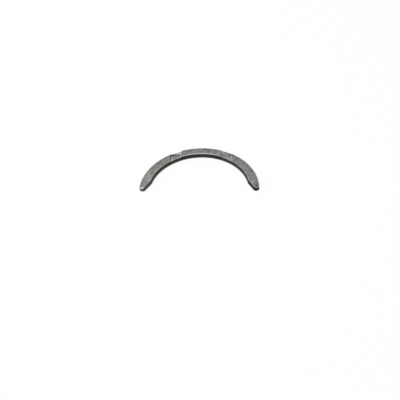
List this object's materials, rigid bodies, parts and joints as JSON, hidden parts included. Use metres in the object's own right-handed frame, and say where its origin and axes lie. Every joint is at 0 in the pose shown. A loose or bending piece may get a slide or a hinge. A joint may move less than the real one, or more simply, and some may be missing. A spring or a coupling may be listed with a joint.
{
  "type": "crankshaft thrust washer",
  "caption": "Half-moon flat thrust washer with rounded, relieved ends and straight oil grooves across its bearing face; takes the end thrust of a shaft.",
  "frame": {"origin": "middle of the bounding box, on the steel back; the centre of the arcs is 17.65 mm from it towards -Y", "axes": "+Z out of the grooved thrust face, +Y along the line of symmetry towards the crown, +X across the two ends; the open side faces -Y"},
  "size_m": [0.0698, 0.0346, 0.0023],
  "materials": {
    "bearing_metal": "steel strip with a thin grey aluminium-tin bearing lining on the thrust face; satin, lightly mottled, sheared edges darker"
  },
  "bodies": {
    "root": {"thrust_washer": "bearing_metal"}
  },
  "joints": []
}
